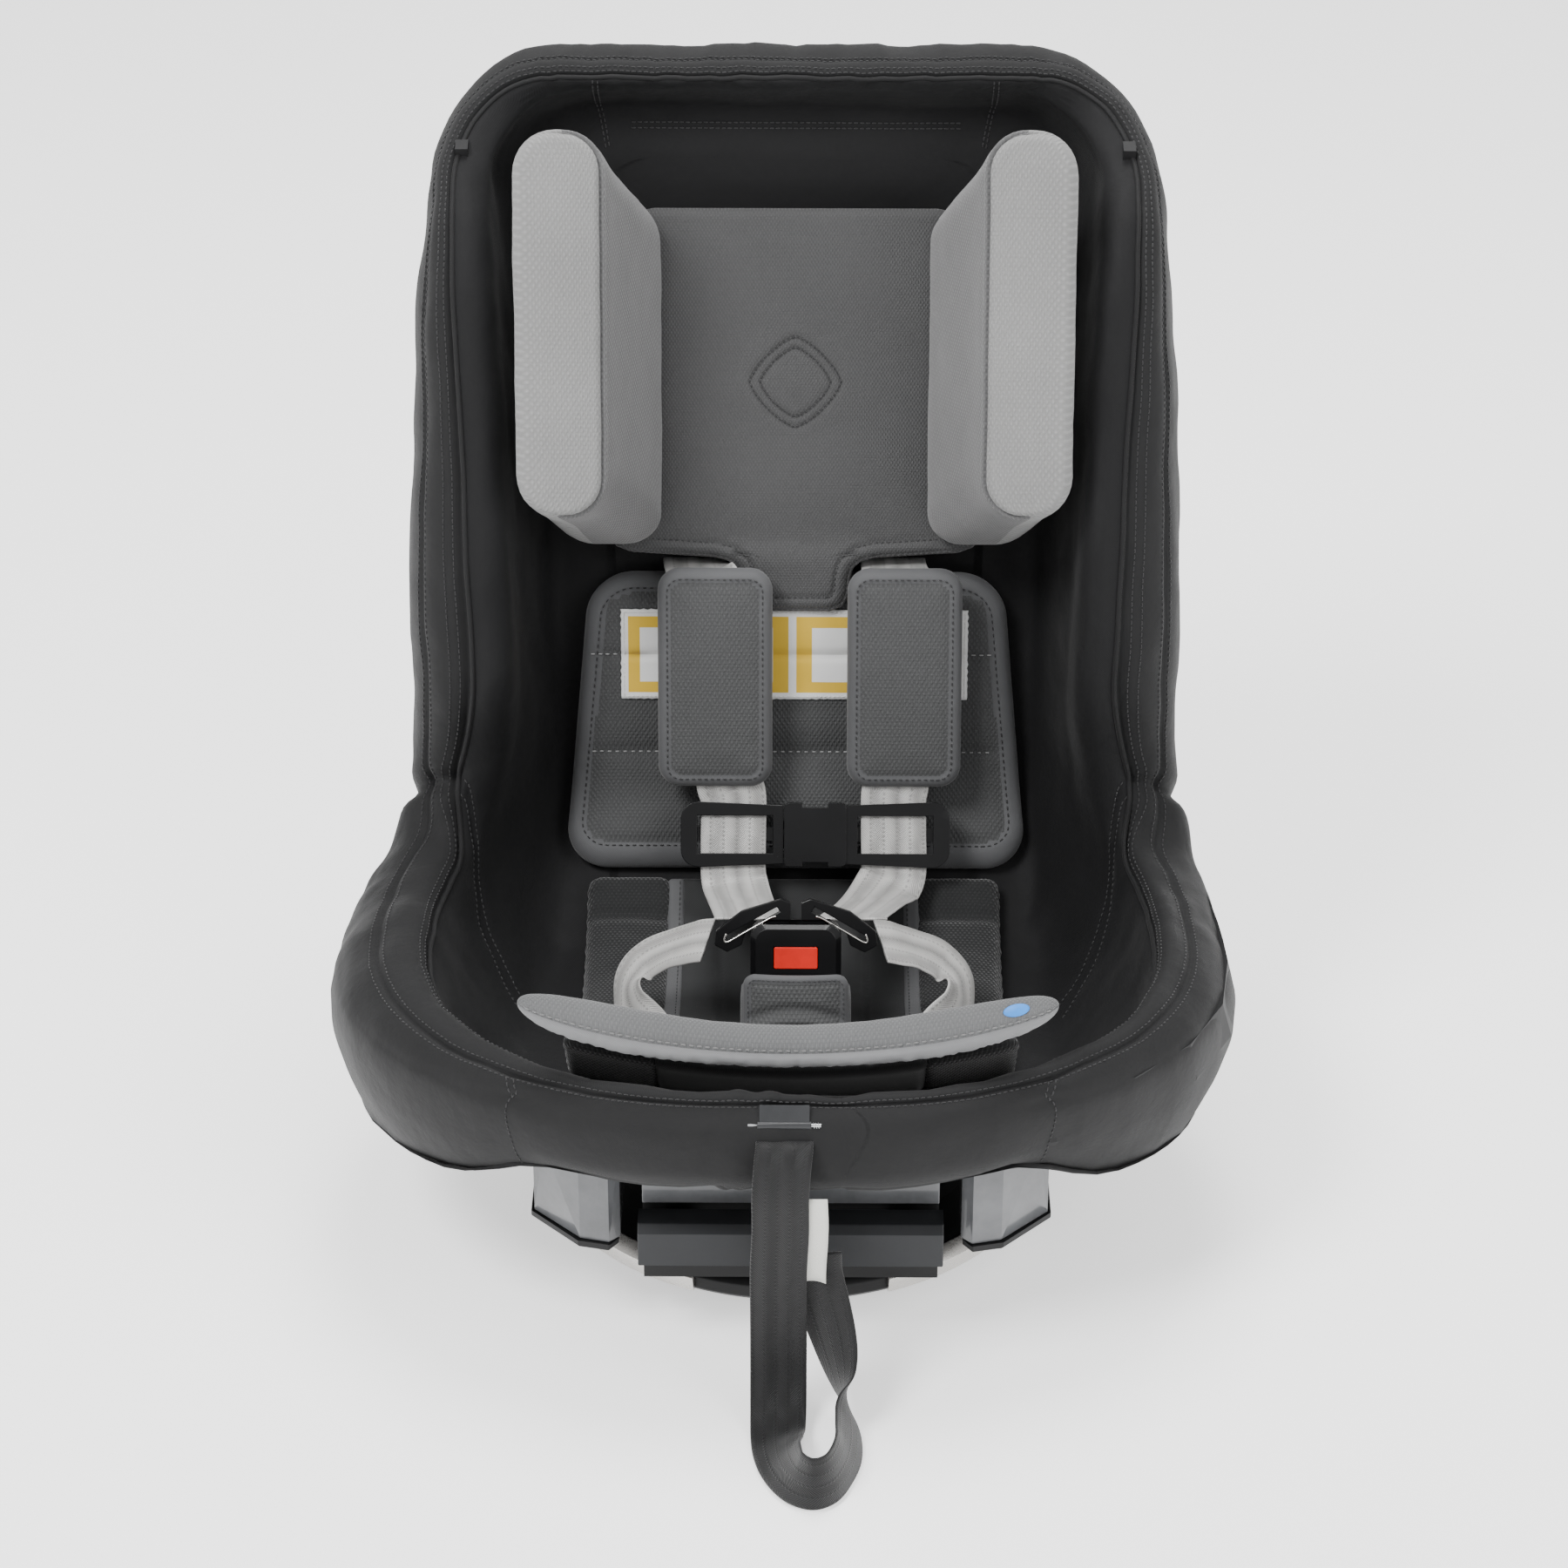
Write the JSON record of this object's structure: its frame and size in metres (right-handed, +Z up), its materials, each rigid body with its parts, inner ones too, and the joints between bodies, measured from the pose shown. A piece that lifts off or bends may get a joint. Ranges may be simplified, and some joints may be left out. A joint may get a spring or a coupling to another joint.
{
  "type": "convertible car seat",
  "caption": "Child car seat with a fabric-covered bucket, five-point harness, sliding headrest with side bolsters, and a reclining carriage on a round docking hub.",
  "frame": {"origin": "centre of the round docking hub at its bottom face", "axes": "+Z up, +Y towards the seat's back, +X to the right of someone who faces the seat"},
  "size_m": [0.5056, 0.5828, 0.5851],
  "materials": {
    "black_plastic": "moulded, fine texture",
    "steel": "brushed",
    "hardware_steel": "stamped and plated",
    "spring_steel": "drawn wire",
    "grey_gloss_plastic": "smooth moulded",
    "glide_plastic": "smooth, low friction",
    "shell_plastic": "moulded, textured",
    "foam": "expanded bead foam",
    "cover_fabric": "black twill weave",
    "headrest_fabric": "grey air mesh",
    "bolster_fabric": "light grey air mesh",
    "pad_fabric": "dark grey mesh with bound edges",
    "edge_fabric": "light grey air mesh",
    "seat_fabric": "dark grey quilted mesh",
    "harness_webbing": "silver grey woven webbing",
    "black_webbing": "black woven webbing",
    "label_fabric": "coated label cloth, blank",
    "tag_blue": "printed oval",
    "button_red": "moulded"
  },
  "bodies": {
    "base": {"dock_hub": "black_plastic", "hub_steel_ring": "steel", "jaw_springs": "spring_steel", "carriage": "black_plastic", "carriage_front_panel": "grey_gloss_plastic", "saddle_liners": "glide_plastic", "carriage_screws": "hardware_steel", "handle_springs": "spring_steel"},
    "jaw_left": {"latch_jaws_left": "hardware_steel"},
    "jaw_right": {"latch_jaws_right": "hardware_steel"},
    "handle": {"release_handle": "black_plastic"},
    "headrest": {"headrest_plate": "black_plastic", "headrest_pad": "headrest_fabric", "bolster_left": "bolster_fabric", "bolster_right": "bolster_fabric"},
    "button": {"buckle_button": "button_red"},
    "tongue_l": {"tongue_left": "black_plastic"},
    "tongue_r": {"tongue_right": "black_plastic"},
    "clip_socket": {"chest_clip_socket": "black_plastic"},
    "clip_plug": {"chest_clip_plug": "black_plastic"},
    "lever": {"adjuster_lever": "glide_plastic"},
    "seat": {"shell": "shell_plastic", "foam_liner": "foam", "seat_cover": "cover_fabric", "rocker_rails": "glide_plastic", "glide_keepers": "glide_plastic", "cowl_left": "grey_gloss_plastic", "cowl_right": "grey_gloss_plastic", "cowl_trims": "black_plastic", "lumbar_pad": "pad_fabric", "label_patch": "label_fabric", "seat_pad": "seat_fabric", "seat_pad_edge": "edge_fabric", "edge_tag": "tag_blue", "guide_rails": "glide_plastic", "shoulder_strap_left": "harness_webbing", "shoulder_strap_right": "harness_webbing", "shoulder_pad_left": "pad_fabric", "shoulder_pad_right": "pad_fabric", "lap_strap_left": "harness_webbing", "lap_strap_right": "harness_webbing", "crotch_strap": "harness_webbing", "crotch_anchor": "hardware_steel", "crotch_pad": "pad_fabric", "buckle_housing": "black_plastic", "buckle_lock_plate": "hardware_steel", "buckle_spring": "spring_steel", "adjuster_bracket": "hardware_steel", "adjuster_pin": "hardware_steel", "adjuster_spring": "spring_steel", "adjuster_strap": "black_webbing", "strap_tag": "label_fabric", "splitter_plate": "hardware_steel", "rear_strap": "harness_webbing", "cover_eyelets": "black_plastic", "shade_sockets": "black_plastic", "tether_anchor": "hardware_steel", "tether_strap": "black_webbing"}
  },
  "joints": [
    {"name": "recline", "type": "hinge", "parent": "base", "child": "seat", "pos_m": [0, 0.02, 0.42], "axis": [-1, 0, 0], "range_deg": [0, 12]},
    {"name": "headrest_slide", "type": "slide", "parent": "seat", "child": "headrest", "axis": [0, 0.2588, 0.9659], "range_m": [0, 0.04]},
    {"name": "release_handle_pull", "type": "slide", "parent": "base", "child": "handle", "axis": [0, -1, 0], "range_m": [0, 0.012], "stiffness_N_per_m": 600, "springref_m": -0.005, "deforming": ["handle_springs", "jaw_springs"]},
    {"name": "jaw_left_slide", "type": "slide", "parent": "base", "child": "jaw_left", "axis": [-1, 0, 0], "range_m": [0, 0.006], "deforming": ["jaw_springs"]},
    {"name": "jaw_right_slide", "type": "slide", "parent": "base", "child": "jaw_right", "axis": [1, 0, 0], "range_m": [0, 0.006], "deforming": ["jaw_springs"]},
    {"name": "buckle_press", "type": "slide", "parent": "seat", "child": "button", "axis": [0, 0.9438, -0.3305], "range_m": [0, 0.003], "stiffness_N_per_m": 900, "springref_m": -0.004, "deforming": ["buckle_spring"]},
    {"name": "tongue_left_slide", "type": "slide", "parent": "seat", "child": "tongue_l", "axis": [0, 0.3305, 0.9438], "range_m": [0, 0.02], "deforming": ["shoulder_strap_left", "lap_strap_left"]},
    {"name": "tongue_right_slide", "type": "slide", "parent": "seat", "child": "tongue_r", "axis": [0, 0.3305, 0.9438], "range_m": [0, 0.02], "deforming": ["shoulder_strap_right", "lap_strap_right"]},
    {"name": "chest_clip_slide", "type": "slide", "parent": "seat", "child": "clip_socket", "axis": [0, 0.4695, 0.8829], "range_m": [-0.008, 0.004], "deforming": ["shoulder_strap_left", "shoulder_strap_right"]},
    {"name": "chest_clip_release", "type": "slide", "parent": "clip_socket", "child": "clip_plug", "axis": [-1, 0, 0], "range_m": [0, 0.012], "deforming": ["shoulder_strap_left"]},
    {"name": "adjuster_lever_tilt", "type": "hinge", "parent": "seat", "child": "lever", "pos_m": [-0.003, -0.202, 0.1695], "axis": [1, 0, 0], "range_deg": [0, 20], "stiffness_Nm_per_rad": 0.3, "springref_deg": -11.46, "deforming": ["adjuster_spring"]}
  ],
  "couplings": [
    {"joint": "jaw_left_slide", "follows": "release_handle_pull", "ratio": 0.5},
    {"joint": "jaw_right_slide", "follows": "release_handle_pull", "ratio": 0.5}
  ]
}
